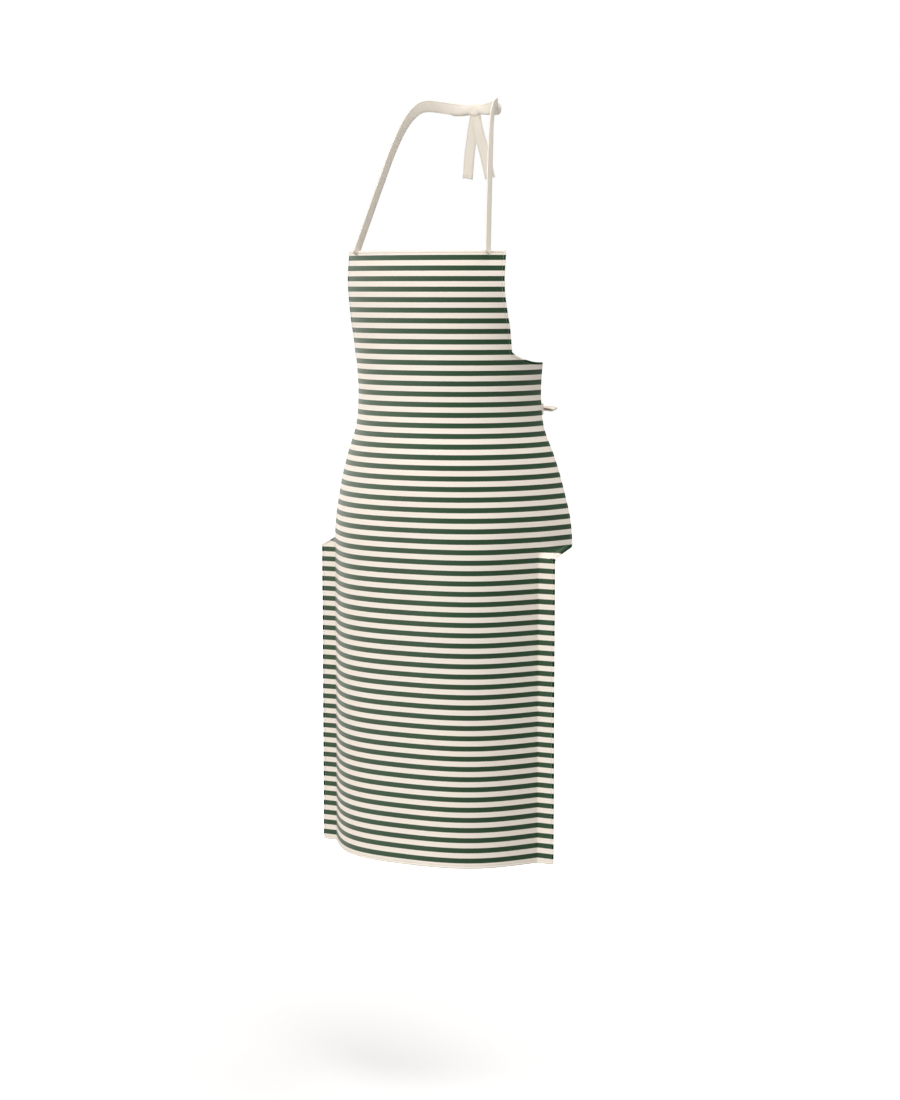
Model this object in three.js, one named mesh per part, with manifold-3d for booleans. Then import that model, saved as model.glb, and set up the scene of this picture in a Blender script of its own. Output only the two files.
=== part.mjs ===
// A bib apron of striped cotton, in the shape it takes when it is worn: a square bib, a waist that wraps
// to the side seams, and a skirt that hangs straight from the hips with a creased flange down each side.
// Millimetres, +X is the wearer's left, -Y the front and +Z up. The origin is at the nape of the neck,
// where the tied neck straps rest.
import * as THREE from "three";
import { mergeVertices } from "three/addons/utils/BufferGeometryUtils.js";
import { RoundedBoxGeometry } from "three/addons/geometries/RoundedBoxGeometry.js";
import Module from "manifold-3d";

const wasm = await Module();
wasm.setup();

// Cloth and tape
const CLOTH = 1.2; // wall of the striped cloth
const TAPE_WIDTH = 16; // straps, ties and bows
const TAPE_THICK = 2;
const TAPE_EDGE = 0.7; // how far a tape's rounded edge reaches in from its side
const SEAM_GAP = 0.3; // clearance where pieces are sewn or knotted together

// The frame: heights are drops from the bib's top edge, depths are measured from the body's upright axis
const NAPE_RISE = 197; // nape above the bib's top edge
const NAPE_BACK = 51; // nape behind the axis
const SIDE_SEAM = -8; // depth of the cloth's side edges, just before the body's sides

// The panel's outline
const APRON_LENGTH = 833; // bib top to bottom hem
const BIB_HALF = 118.3; // the bib is a straight strip of this half width
const BIB_CORNER = 3; // rounding of the bib's top corners
const ARMHOLE = { top: 138, side: 151 }; // drops where the cut-out leaves the bib and meets the side
const ARMHOLE_POWER = 2.4; // how sharply the cut-out turns from upright to level
// Drops where the front starts to settle, where the side turns out and where the skirt hangs straight
const HIP = { settle: 330, corner: 401, skirt: 412 };

// The cloth on the body, a row for each height. side is the half width, front the reach forward of the
// axis, flat how long the front runs before it bends, and lean the angle at which it meets the side seam.
const BODY = [
  { drop: 0, side: 160, front: 131, flat: 95, lean: 90 },
  { drop: 40, side: 165, front: 136, flat: 97, lean: 90 },
  { drop: 80, side: 154, front: 135, flat: 94, lean: 90 },
  { drop: 120, side: 141, front: 133, flat: 90, lean: 90 },
  { drop: 160, side: 134, front: 133, flat: 89, lean: 90 },
  { drop: 205, side: 132.5, front: 134, flat: 86, lean: 90 },
  { drop: 240, side: 137, front: 138.5, flat: 88, lean: 89 },
  { drop: 280, side: 153, front: 148.5, flat: 98, lean: 85 },
  { drop: 320, side: 166, front: 154.5, flat: 105, lean: 82 },
  { drop: 360, side: 176, front: 156, flat: 118, lean: 75 },
  { drop: 401, side: 179.5, front: 156, flat: 122, lean: 71 },
];
const SIDE_HANDLE = 70; // how far the side of a section runs before it bends

// The skirt's one section, down to the hem
const SKIRT = { front: 156, flat: 100, creaseSide: 156.5, crease: -69.7, lean: 54.5 };
// The flange down each side, with the drop where it starts to hang straight
const FLANGE = { left: { width: 24, top: 412 }, right: { width: 20.5, top: 409 } };

// Steps of the panel's facets
const CORNER_ROWS = 2;
const BIB_ROWS = 9;
const BODY_ROWS = 19;
const FLIP_ROWS = 4;
const SKIRT_ROWS = 4;
const BIB_COLUMNS = 11;
const SIDE_COLUMNS = 4;
const FLANGE_COLUMNS = 4;

// A neck strap from the top hem to the nape. Its flat face turns from the wearer's side to the back.
const STRAP_PATH = [
  { x: 99.6, y: -110.9, rise: -5.5, turn: 0 },
  { x: 90.2, y: -88.7, rise: 47, turn: 0 },
  { x: 81.6, y: -68, rise: 95, turn: 0 },
  { x: 72.8, y: -46, rise: 143, turn: 0 },
  { x: 64.5, y: -24.5, rise: 178, turn: 4 },
  { x: 58, y: -3, rise: 196, turn: 12 },
  { x: 53.5, y: 16, rise: 201, turn: 28 },
  { x: 43.5, y: 35, rise: 200.5, turn: 48 },
  { x: 26, y: 49, rise: 198, turn: 68 },
  { x: 7.6, y: 53.6, rise: 197, turn: 86 },
];
const STRAP_STEPS = 40;
// The strap's end straddles the hem: how far the slit is cut across and down, its facets, and the way
// the hem looks there, from the wearer's side (0) to the back (90)
const SLOT = { reach: 30, columns: 4, turn: -55 };

// A waist tie: it starts under the side hem and follows the back of the waist to the knot
const TIE = { drop: 216, startShare: 0.9, hemPoints: 3, backDepth: 88.6, endTurn: 86.2, backPoints: 9 };
const TIE_STEPS = 22;

// The two bows. back and rise place the knot's centre, reach and swell give a loop's length and half
// opening, tilt turns the loop's opening from level (0) to upright (90) at its knot and its tip, and a
// tail's rows lead downwards. A leg is half of a loop, from the knot to its tip: along is a share of the
// reach, apart a share of the swell, and turn the way its outer face looks, from sideways (0) to away
// from the loop's middle (90).
const NECK_BOW = {
  name: "neck",
  back: 57.2,
  rise: 197,
  knot: { width: 14.6, depth: 11.6, height: 18 },
  loop: { back: 60.4, reach: 31.3, swell: 4.2, tilt: { knot: 0, tip: 0 }, sag: 1 },
  leg: [
    { along: 0, apart: 0.32, turn: 98 },
    { along: 0.3, apart: 1, turn: 92 },
    { along: 0.72, apart: 0.9, turn: 84 },
    { along: 0.95, apart: 0.5, turn: 50 },
  ],
  tail: [
    { down: 0, side: 3, back: 58 },
    { down: 14, side: 4, back: 59 },
    { down: 50, side: 12, back: 65 },
    { down: 85, side: 18, back: 71 },
  ],
};
const WAIST_BOW = {
  name: "waist",
  back: 86.4,
  rise: -TIE.drop,
  knot: { width: 16, depth: 16, height: 18.5 },
  loop: { back: 90.4, reach: 102.5, swell: 3.2, tilt: { knot: 45, tip: 90 }, sag: 4 },
  leg: [
    { along: 0, apart: 0.38, turn: 98 },
    { along: 0.25, apart: 1, turn: 92 },
    { along: 0.7, apart: 0.5, turn: 86 },
    { along: 0.96, apart: 0.44, turn: 50 },
  ],
  tail: [
    { down: 0, side: 3.5, back: 87 },
    { down: 18, side: 5, back: 89 },
    { down: 80, side: 16, back: 101 },
    { down: 170, side: 27, back: 118 },
  ],
};
const KNOT_ROUNDING = 4;
const KNOT_SEGMENTS = 3;
const TAIL_LAYER = 1.3; // the left tail hangs before the right one by twice this
const TAIL_STEPS = 9;
const LOOP_STEPS = 28;

const stripedCotton = new THREE.MeshStandardMaterial({ color: 0x8d9a86, roughness: 0.85, metalness: 0 });
const creamCotton = new THREE.MeshStandardMaterial({ color: 0xf1e8dc, roughness: 0.85, metalness: 0 });

// A point in the part's frame, from its depth behind the axis and its drop below the bib's top edge
function place(x, depth, drop) {
  return new THREE.Vector3(x, depth - NAPE_BACK, -NAPE_RISE - drop);
}

// Half of a level section, from the front's middle to its side edge, as x and depth
function halfSection(front, flat, edge, lean) {
  const angle = THREE.MathUtils.degToRad(lean);
  const handle = new THREE.Vector2(Math.cos(angle), Math.sin(angle)).multiplyScalar(SIDE_HANDLE);
  return new THREE.CubicBezierCurve(
    new THREE.Vector2(0, -front),
    new THREE.Vector2(flat, -front),
    edge.clone().sub(handle),
    edge,
  );
}

const bodyShape = new THREE.CubicInterpolant(
  BODY.map((row) => row.drop),
  BODY.flatMap((row) => [row.side, row.front, row.flat, row.lean]),
  4,
);

function bodySection(drop) {
  const [side, front, flat, lean] = bodyShape.evaluate(drop);
  return halfSection(front, flat, new THREE.Vector2(side, SIDE_SEAM), lean);
}

const creasePoint = new THREE.Vector2(SKIRT.creaseSide, SKIRT.crease);
const skirtSection = halfSection(SKIRT.front, SKIRT.flat, creasePoint, SKIRT.lean);

const BISECTIONS = 40;

// How far along a half section it reaches a given half width
function shareAtWidth(section, width) {
  let low = 0;
  let high = 1;
  for (let i = 0; i < BISECTIONS; i++) {
    const middle = (low + high) / 2;
    if (section.getPoint(middle).x < width) low = middle;
    else high = middle;
  }
  return low;
}

const creaseShare = shareAtWidth(bodySection(HIP.corner), SKIRT.creaseSide);
const bibShare = shareAtWidth(bodySection(ARMHOLE.side), BIB_HALF);

// The outer face of the panel at a drop and a share of its half width, negative on the wearer's right.
// The front settles from the body's section into the skirt's, and the flap beyond the crease then flips
// out into a flange.
function panelPoint(drop, signedShare) {
  const share = Math.abs(signedShare);
  const { width, top } = signedShare > 0 ? FLANGE.left : FLANGE.right;
  const settled = THREE.MathUtils.smoothstep(drop, HIP.settle, HIP.skirt);
  const flipped = THREE.MathUtils.clamp((drop - HIP.corner) / (top - HIP.corner), 0, 1);
  const body = bodySection(Math.min(drop, HIP.corner));
  const inner = Math.min(share, creaseShare);
  const point = body.getPoint(inner).lerp(skirtSection.getPoint(inner / creaseShare), settled);
  if (share > creaseShare) {
    const flap = body.getPoint(share).sub(body.getPoint(creaseShare));
    const flange = new THREE.Vector2((width * (share - creaseShare)) / (1 - creaseShare), 0);
    point.add(flap.lerp(flange, flipped));
  }
  return place(Math.sign(signedShare) * point.x, point.y, drop);
}

function bibHalfAt(drop) {
  const past = Math.max(0, BIB_CORNER - drop);
  return BIB_HALF - BIB_CORNER + Math.sqrt(BIB_CORNER ** 2 - past ** 2);
}

// Whole numbers from 0 to count, as shares from low to high
function shares(low, high, count) {
  return Array.from({ length: count + 1 }, (_, i) => low + ((high - low) * i) / count);
}

// A closed wall from an open surface: its outer face, the same face set inwards, and the rim between them
function wall(points, triangles, thick) {
  const surface = new THREE.BufferGeometry().setFromPoints(points);
  surface.setIndex(triangles.flat());
  surface.computeVertexNormals();
  const normals = surface.getAttribute("normal");
  const inner = points.map((point, i) =>
    point.clone().addScaledVector(new THREE.Vector3().fromBufferAttribute(normals, i), -thick),
  );
  const count = points.length;
  const faces = triangles.flatMap(([a, b, c]) => [
    [a, b, c],
    [a + count, c + count, b + count],
  ]);
  const sides = triangles.flatMap(([a, b, c]) => [
    [a, b],
    [b, c],
    [c, a],
  ]);
  const known = new Set(sides.map((side) => side.join()));
  for (const [a, b] of sides) {
    if (known.has([b, a].join())) continue;
    faces.push([b, a, a + count], [b, a + count, b + count]);
  }
  return meshGeometry([...points, ...inner], faces);
}

function meshGeometry(points, faces) {
  return new THREE.BufferGeometry().setFromPoints(points).setIndex(faces.flat());
}

// The panel: the bib's rows, the fans under the armholes, and the rows from the armholes to the hem
function panelGeometry() {
  const points = [];
  const triangles = [];
  const add = (drop, share) => points.push(panelPoint(drop, share)) - 1;
  const quad = (a, b, c, d) => triangles.push([a, d, c], [a, c, b]);
  const join = (upper, lower) => {
    for (let i = 0; i + 1 < upper.length; i++) quad(upper[i], upper[i + 1], lower[i + 1], lower[i]);
  };

  const bibSteps = shares(-1, 1, 2 * BIB_COLUMNS);
  const cornerDrops = shares(0, BIB_CORNER, CORNER_ROWS).slice(0, -1);
  const bibDrops = [...cornerDrops, ...shares(BIB_CORNER, ARMHOLE.top, BIB_ROWS)];
  const bibRows = bibDrops.map((drop) => {
    const edge = shareAtWidth(bodySection(drop), bibHalfAt(drop));
    return bibSteps.map((step) => add(drop, step * edge));
  });

  const sideShares = [
    ...shares(bibShare, creaseShare, SIDE_COLUMNS).slice(1),
    ...shares(creaseShare, 1, FLANGE_COLUMNS).slice(1),
  ];
  const columns = [
    ...sideShares.map((share) => -share).reverse(),
    ...bibSteps.map((step) => step * bibShare),
    ...sideShares,
  ];
  const bodyDrops = [
    ...shares(ARMHOLE.side, HIP.corner, BODY_ROWS),
    ...shares(HIP.corner, FLANGE.right.top, FLIP_ROWS).slice(1),
    FLANGE.left.top,
    ...shares(HIP.skirt, APRON_LENGTH, SKIRT_ROWS).slice(1),
  ];
  const bodyRows = bodyDrops.map((drop) => columns.map((share) => add(drop, share)));

  bibRows.slice(1).forEach((row, i) => join(bibRows[i], row));
  bodyRows.slice(1).forEach((row, i) => join(bodyRows[i], row));
  const waist = bodyRows[0];
  const outside = sideShares.length;
  const bibFoot = bibRows.at(-1);
  join(bibFoot, waist.slice(outside, outside + bibSteps.length));

  const rim = sideShares.slice(0, -1).map((share) => {
    const left = 1 - (share - bibShare) / (1 - bibShare);
    return { share, drop: ARMHOLE.side - (ARMHOLE.side - ARMHOLE.top) * left ** ARMHOLE_POWER };
  });
  const leftRim = [bibFoot.at(-1), ...rim.map(({ drop, share }) => add(drop, share))];
  const leftWaist = waist.slice(-outside - 1);
  join(leftRim, leftWaist.slice(0, -1));
  triangles.push([leftRim.at(-1), leftWaist.at(-2), leftWaist.at(-1)]);
  const rightRim = [...rim.map(({ drop, share }) => add(drop, -share)).reverse(), bibFoot[0]];
  const rightWaist = waist.slice(0, outside + 1);
  join(rightRim, rightWaist.slice(1));
  triangles.push([rightRim[0], rightWaist[0], rightWaist[1]]);
  return wall(points, triangles, CLOTH);
}

// A flat tape with rounded edges along a curve through its points, its face turned to the given directions
function tapeGeometry(path, facing, steps) {
  const curve = new THREE.CatmullRomCurve3(path, false, "centripetal");
  const faceCurve = new THREE.CatmullRomCurve3(facing, false, "centripetal");
  const flatHalf = TAPE_WIDTH / 2 - TAPE_EDGE;
  const ring = [
    [TAPE_THICK / 2, -flatHalf],
    [TAPE_THICK / 2, flatHalf],
    [0, TAPE_WIDTH / 2],
    [-TAPE_THICK / 2, flatHalf],
    [-TAPE_THICK / 2, -flatHalf],
    [0, -TAPE_WIDTH / 2],
  ];
  const points = [];
  const faces = [];
  for (const share of shares(0, 1, steps)) {
    const centre = curve.getPoint(share);
    const along = curve.getTangent(share);
    const face = faceCurve.getPoint(share);
    face.addScaledVector(along, -face.dot(along)).normalize();
    const across = along.clone().cross(face);
    for (const [out, side] of ring)
      points.push(centre.clone().addScaledVector(face, out).addScaledVector(across, side));
  }
  const sides = ring.length;
  const last = steps * sides;
  for (let step = 0; step < steps; step++) {
    for (let i = 0; i < sides; i++) {
      const a = step * sides + i;
      const b = step * sides + ((i + 1) % sides);
      faces.push([a, b, b + sides], [a, b + sides, a + sides]);
    }
  }
  for (let i = 1; i + 1 < sides; i++) faces.push([0, i + 1, i], [last, last + i, last + i + 1]);
  return meshGeometry(points, faces);
}

function planDirection(turn, hand) {
  const angle = THREE.MathUtils.degToRad(turn);
  return new THREE.Vector3(hand * Math.cos(angle), Math.sin(angle), 0);
}

function solid(geometry) {
  const merged = mergeVertices(geometry.clone());
  const vertProperties = new Float32Array(merged.getAttribute("position").array);
  const triVerts = new Uint32Array(merged.index.array);
  return new wasm.Manifold(new wasm.Mesh({ numProp: 3, vertProperties, triVerts }));
}

function fromSolid(made) {
  const { vertProperties, triVerts } = made.getMesh();
  return new THREE.BufferGeometry()
    .setAttribute("position", new THREE.BufferAttribute(vertProperties, 3))
    .setIndex(new THREE.BufferAttribute(triVerts, 1));
}

// The strap's end is slit to straddle the top hem: the slit is the hem itself with the seam gap round it
function hemSlot(hand) {
  const root = STRAP_PATH[0];
  const section = bodySection(0);
  const middle = shareAtWidth(section, root.x);
  const half = shareAtWidth(section, root.x + SLOT.reach / 2) - middle;
  const points = [];
  const triangles = [];
  for (const drop of [-SEAM_GAP, SLOT.reach]) {
    for (const share of shares(middle - half, middle + half, SLOT.columns)) {
      const point = panelPoint(Math.max(drop, 0), hand * share);
      points.push(point.setZ(-NAPE_RISE - drop));
    }
  }
  const below = SLOT.columns + 1;
  for (let i = 0; i < SLOT.columns; i++) {
    const [a, b] = hand > 0 ? [i, i + 1] : [i + 1, i];
    triangles.push([a, a + below, b + below], [a, b + below, b]);
  }
  const outward = planDirection(SLOT.turn, hand).multiplyScalar(SEAM_GAP);
  return wall(points.map((point) => point.add(outward)), triangles, CLOTH + 2 * SEAM_GAP);
}

function strapGeometry(hand) {
  const path = STRAP_PATH.map(({ x, y, rise }) => place(hand * x, y, -rise));
  const facing = STRAP_PATH.map(({ turn }) => planDirection(turn, hand));
  return fromSolid(solid(tapeGeometry(path, facing, STRAP_STEPS)).subtract(solid(hemSlot(hand))));
}

function tieGeometry(hand) {
  const section = bodySection(TIE.drop - TAPE_WIDTH / 2);
  const inset = CLOTH + 2 * SEAM_GAP + TAPE_THICK / 2;
  const path = [];
  const facing = [];
  for (const share of shares(TIE.startShare, 1, TIE.hemPoints)) {
    const along = section.getTangent(share);
    const point = section.getPoint(share).add(new THREE.Vector2(-along.y, along.x).multiplyScalar(inset));
    path.push(place(hand * point.x, point.y, TIE.drop));
    facing.push(new THREE.Vector3(hand * along.y, -along.x, 0));
  }
  const sideHalf = Math.abs(path.at(-1).x);
  for (const turn of shares(0, TIE.endTurn, TIE.backPoints).slice(1)) {
    const angle = THREE.MathUtils.degToRad(turn);
    const side = hand * Math.cos(angle);
    const back = Math.sin(angle);
    path.push(place(sideHalf * side, SIDE_SEAM + TIE.backDepth * back, TIE.drop));
    facing.push(new THREE.Vector3(side / sideHalf, back / TIE.backDepth, 0).normalize());
  }
  return tapeGeometry(path, facing, TIE_STEPS);
}

function loopGeometry(bow, hand) {
  const { back, reach, swell, tilt, sag } = bow.loop;
  const openingAt = (along) => {
    const lean = THREE.MathUtils.degToRad(THREE.MathUtils.lerp(tilt.knot, tilt.tip, along));
    return new THREE.Vector3(0, Math.cos(lean), Math.sin(lean));
  };
  const start = bow.knot.width / 2 + 2 * SEAM_GAP;
  const tip = { along: 1, apart: 0, turn: 0 };
  const mirrored = bow.leg.map((row) => ({ along: row.along, apart: -row.apart, turn: -row.turn }));
  const rows = [...bow.leg, tip, ...mirrored.reverse()];
  const path = rows.map(({ along, apart }) => {
    const middle = place(hand * (start + reach * along), back, sag * along ** 2 - bow.rise);
    return middle.addScaledVector(openingAt(along), swell * apart);
  });
  const facing = rows.map(({ along, turn }) => {
    const angle = THREE.MathUtils.degToRad(turn);
    const sideways = new THREE.Vector3(hand * Math.cos(angle), 0, 0);
    return sideways.addScaledVector(openingAt(along), Math.sin(angle));
  });
  return tapeGeometry(path, facing, LOOP_STEPS);
}

function tailGeometry(bow, hand) {
  const start = bow.knot.height / 2 + SEAM_GAP;
  const path = bow.tail.map(({ down, side, back }) =>
    place(hand * side, back - hand * TAIL_LAYER, start + down - bow.rise),
  );
  const facing = path.map(() => new THREE.Vector3(0, 1, 0));
  return tapeGeometry(path, facing, TAIL_STEPS);
}

function knotGeometry({ knot, back, rise }) {
  const { x, y, z } = place(0, back, -rise);
  const box = new RoundedBoxGeometry(knot.width, knot.depth, knot.height, KNOT_SEGMENTS, KNOT_ROUNDING);
  return box.translate(x, y, z);
}

const apron = new THREE.Group();
apron.name = "apron";

function addPiece(name, geometry, material) {
  const mesh = new THREE.Mesh(geometry, material);
  mesh.name = name;
  apron.add(mesh);
}

addPiece("apron_panel", panelGeometry(), stripedCotton);
for (const [side, hand] of [
  ["left", 1],
  ["right", -1],
]) {
  addPiece(`neck_strap_${side}`, strapGeometry(hand), creamCotton);
  addPiece(`waist_tie_${side}`, tieGeometry(hand), creamCotton);
  for (const bow of [NECK_BOW, WAIST_BOW]) {
    addPiece(`${bow.name}_loop_${side}`, loopGeometry(bow, hand), creamCotton);
    addPiece(`${bow.name}_tail_${side}`, tailGeometry(bow, hand), creamCotton);
  }
}
for (const bow of [NECK_BOW, WAIST_BOW]) addPiece(`${bow.name}_knot`, knotGeometry(bow), creamCotton);

export default apron;
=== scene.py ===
# %% [markdown]
# # A striped bib apron
# The apron is one panel of yarn-dyed cotton with narrow turned hems, two neck straps, two waist ties and
# a bow at the nape and at the back. This lesson builds each piece the way a maker would: the panel is
# cut flat, hemmed and then worn, the tapes are folded and laid along their routes, and the seams are
# sewn last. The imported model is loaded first, as the frame that every piece has to fit.

# %% Load the frame
import math

import bpy
import numpy as np
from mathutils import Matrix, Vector
from mathutils.geometry import delaunay_2d_cdt


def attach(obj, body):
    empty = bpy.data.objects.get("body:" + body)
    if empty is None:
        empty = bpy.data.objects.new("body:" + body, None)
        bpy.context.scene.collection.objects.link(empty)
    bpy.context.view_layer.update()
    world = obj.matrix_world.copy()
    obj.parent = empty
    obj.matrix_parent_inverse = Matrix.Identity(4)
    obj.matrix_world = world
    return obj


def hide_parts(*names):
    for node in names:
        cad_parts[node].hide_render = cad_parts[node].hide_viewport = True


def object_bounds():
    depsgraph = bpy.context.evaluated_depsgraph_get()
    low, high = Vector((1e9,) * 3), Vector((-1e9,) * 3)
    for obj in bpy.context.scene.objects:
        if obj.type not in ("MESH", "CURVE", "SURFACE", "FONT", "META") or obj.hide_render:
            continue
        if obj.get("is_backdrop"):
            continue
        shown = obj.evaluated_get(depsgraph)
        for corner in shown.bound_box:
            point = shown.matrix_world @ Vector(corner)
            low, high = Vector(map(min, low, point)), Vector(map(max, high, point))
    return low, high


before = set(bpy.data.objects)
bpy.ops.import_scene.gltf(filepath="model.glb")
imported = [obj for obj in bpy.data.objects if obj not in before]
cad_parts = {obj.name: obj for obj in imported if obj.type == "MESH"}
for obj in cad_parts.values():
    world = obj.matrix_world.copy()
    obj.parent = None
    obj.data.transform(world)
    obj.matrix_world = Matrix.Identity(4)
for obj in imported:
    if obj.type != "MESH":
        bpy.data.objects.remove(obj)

cad_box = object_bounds()
scene = bpy.context.scene
print("frame", sorted(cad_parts), [round(x, 3) for x in cad_box[1] - cad_box[0]])

# %% [markdown]
# ## The camera
# The camera stands a little to the wearer's left and just above the bib, as in the photograph. It could
# be placed by hand, but an angle, a tilt and a distance from one point on the skirt say more, and they
# are easy to change. Depth of field stays off, so every stitch is sharp.

# %% Camera
VIEW_TURN = math.radians(26.0)
VIEW_TILT = math.radians(6.29)
VIEW_DISTANCE = 3.3
VIEW_TARGET = Vector((0.0171, -0.1076, -0.6068))
VIEW_LENS = 78.25


def view_direction(turn, height):
    """The direction from the apron at a turn from its front and a height, both in radians."""
    level = math.cos(height)
    return Vector((math.sin(turn) * level, -math.cos(turn) * level, math.sin(height)))


back = view_direction(VIEW_TURN, VIEW_TILT)
camera_data = bpy.data.cameras.new("photo_camera")
camera_data.lens = VIEW_LENS
camera = bpy.data.objects.new("photo_camera", camera_data)
camera.location = VIEW_TARGET + VIEW_DISTANCE * back
camera.rotation_euler = (-back).to_track_quat("-Z", "Y").to_euler()
scene.collection.objects.link(camera)
scene.camera = camera
print("camera at", [round(x, 3) for x in camera.location])

# %% [markdown]
# ## Nodes and colours
# Every material below is a small tree of nodes. One function adds a node, sets it and links it, so that
# a tree reads from top to bottom. Colours are written as they look on a screen, in hex, and one function
# turns them into the linear values that the shader works with.

# %% Helpers for node trees
def add_node(tree, kind, inputs=(), **settings):
    """A node with its settings, and its inputs either linked or set."""
    made = tree.nodes.new(kind)
    for name, value in settings.items():
        setattr(made, name, value)
    for name, value in dict(inputs).items():
        if isinstance(value, bpy.types.NodeSocket):
            tree.links.new(value, made.inputs[name])
        else:
            made.inputs[name].default_value = value
    return made


def linear(hex_colour):
    """The shader's linear values for a screen colour, by the sRGB standard's own curve."""
    channels = [int(hex_colour[i:i + 2], 16) / 255 for i in (1, 3, 5)]
    return [c / 12.92 if c <= 0.04045 else ((c + 0.055) / 1.055) ** 2.4 for c in channels] + [1.0]


def new_material(name, **settings):
    """A material, its tree and its shader, with values for the shader's sockets."""
    material = bpy.data.materials.new(name)
    material.use_nodes = True
    shader = material.node_tree.nodes["Principled BSDF"]
    for socket, value in settings.items():
        shader.inputs[socket.replace("_", " ")].default_value = value
    return material, material.node_tree, shader


print("cream is", [round(c, 3) for c in linear("#f0e6d8")])

# %% [markdown]
# ## Plain-woven cotton
# Panel and tapes are plain-woven cotton: each yarn goes over one and under the next. An image could show
# that, but two sine waves over the piece's own flat map are enough and stay sharp. The map holds the
# distance along and across the cut cloth, in metres. Each yarn is a little thicker or paler than the
# next, which gives fine streaks along the cloth.

# %% Weave and yarns
MM = 0.001
CLOTH_MAP = "cloth_map"
# a thread of this cloth is about 0.3 mm, drawn coarser so that the weave can show
THREAD = 0.55
# a thick or pale stretch of yarn, its length and its width, drawn a few threads wide for the same reason
YARN_STREAK = (45.0, 0.9)
YARN_SHADE = (0.96, 1.04)
WEAVE_BUMP = 0.2
WEAVE_RELIEF = 0.12


def weave_nodes(tree):
    """The piece's flat map, the height of its weave and the streaks of its yarns."""
    flat = add_node(tree, "ShaderNodeUVMap", uv_map=CLOTH_MAP).outputs["UV"]
    wave = {0: flat, 1: [math.tau / (2 * THREAD * MM)] * 3}
    wave = add_node(tree, "ShaderNodeVectorMath", wave, operation="MULTIPLY")
    wave = add_node(tree, "ShaderNodeVectorMath", {0: wave.outputs[0]}, operation="SINE")
    sides = add_node(tree, "ShaderNodeSeparateXYZ", {0: wave.outputs[0]}).outputs
    over = add_node(tree, "ShaderNodeMath", {0: sides["X"], 1: sides["Y"]}, operation="MULTIPLY")
    stretch = [1 / (size * MM) for size in YARN_STREAK] + [1.0]
    streak = add_node(tree, "ShaderNodeMapping", {"Vector": flat, "Scale": stretch})
    yarn = {"Vector": streak.outputs[0], "Scale": 1.0, "Detail": 2.0}
    yarn = add_node(tree, "ShaderNodeTexNoise", yarn)
    return flat, over.outputs[0], yarn.outputs[0]


def finish_cloth(tree, shader, colour, weave, yarn):
    """Paler and darker yarns over a colour, and the relief of the weave."""
    shade = {"Value": yarn, "To Min": YARN_SHADE[0], "To Max": YARN_SHADE[1]}
    shade = add_node(tree, "ShaderNodeMapRange", shade)
    streaked = {"Color": colour, "Value": shade.outputs[0]}
    streaked = add_node(tree, "ShaderNodeHueSaturation", streaked)
    tree.links.new(streaked.outputs[0], shader.inputs["Base Color"])
    bump = {"Height": weave, "Strength": WEAVE_BUMP, "Distance": WEAVE_RELIEF * MM}
    bump = add_node(tree, "ShaderNodeBump", bump)
    tree.links.new(bump.outputs[0], shader.inputs["Normal"])


print("weave of", THREAD, "mm threads in streaks of", YARN_STREAK, "mm")

# %% [markdown]
# ## Yarn-dyed stripes
# The stripes are woven in, so they show on both faces and follow the cloth. They could be painted by
# height, but reading the distance down the flat map is truer. That distance is cut into repeats with one
# stripe in the middle of each, whose edges wander a little, as dyed yarns do.

# %% Woven stripes
STRIPE_PITCH = 14.0
FIRST_STRIPE = 10.0
STRIPE_HALF = 3.42
STRIPE_FUZZ = 0.3
# how far a stripe's edge wanders, and the size of that pattern across and down the cloth
STRIPE_WANDER = 0.25
WANDER_SIZE = (3.0, 20.0)

# Woven cotton: matt, with a soft wash of light where it turns away, stronger on the mercerised green yarn
cotton, tree, shader = new_material("yarn_dyed_striped_cotton", Sheen_Roughness=0.5)
flat, weave, yarn = weave_nodes(tree)
down = add_node(tree, "ShaderNodeSeparateXYZ", {0: flat}).outputs["Y"]
stretch = [1 / (size * MM) for size in WANDER_SIZE] + [1.0]
wander = add_node(tree, "ShaderNodeMapping", {"Vector": flat, "Scale": stretch})
wander = add_node(tree, "ShaderNodeTexNoise", {"Vector": wander.outputs[0], "Scale": 1.0, "Detail": 1.0})
fuzz = {0: wander.outputs[0], 1: STRIPE_WANDER * MM, 2: down}
fuzz = add_node(tree, "ShaderNodeMath", fuzz, operation="MULTIPLY_ADD")
turns = {0: fuzz.outputs[0], 1: 1 / (STRIPE_PITCH * MM), 2: 0.5 - FIRST_STRIPE / STRIPE_PITCH}
phase = add_node(tree, "ShaderNodeMath", turns, operation="MULTIPLY_ADD")
within = add_node(tree, "ShaderNodeMath", {0: phase.outputs[0]}, operation="FRACT")
offset = add_node(tree, "ShaderNodeMath", {0: within.outputs[0], 1: 0.5}, operation="SUBTRACT")
away = add_node(tree, "ShaderNodeMath", {0: offset.outputs[0]}, operation="ABSOLUTE")
edges = {
    "Value": away.outputs[0],
    "From Min": (STRIPE_HALF + STRIPE_FUZZ / 2) / STRIPE_PITCH,
    "From Max": (STRIPE_HALF - STRIPE_FUZZ / 2) / STRIPE_PITCH,
}
stripe = add_node(tree, "ShaderNodeMapRange", edges, interpolation_type="SMOOTHSTEP").outputs[0]
print("stripes of", 2 * STRIPE_HALF, "mm every", STRIPE_PITCH, "mm")

# %% [markdown]
# ## Colour and finish of the striped cotton
# Cream yarn is almost matt, and the smoother green yarn catches more light where the cloth turns away. A
# turned hem is three layers thick and quite matt; its green is painted darker, as painted shade, and its
# cream a touch lighter, as a painted highlight. A second material could cover the hem, but a mask on the
# mesh blends from the one to the other.

# %% Colour and finish
HEM_MASK = "hem_painted_shade_and_finish"
# the colour of the single cloth, and of the hem with painted shade on the green and a painted highlight on
# the cream
DYES_AND_PAINTED_HEM_SHADE = {"cream": ("#f2e7da", "#f3e9dc"), "green": ("#28482d", "#203e27")}
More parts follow.
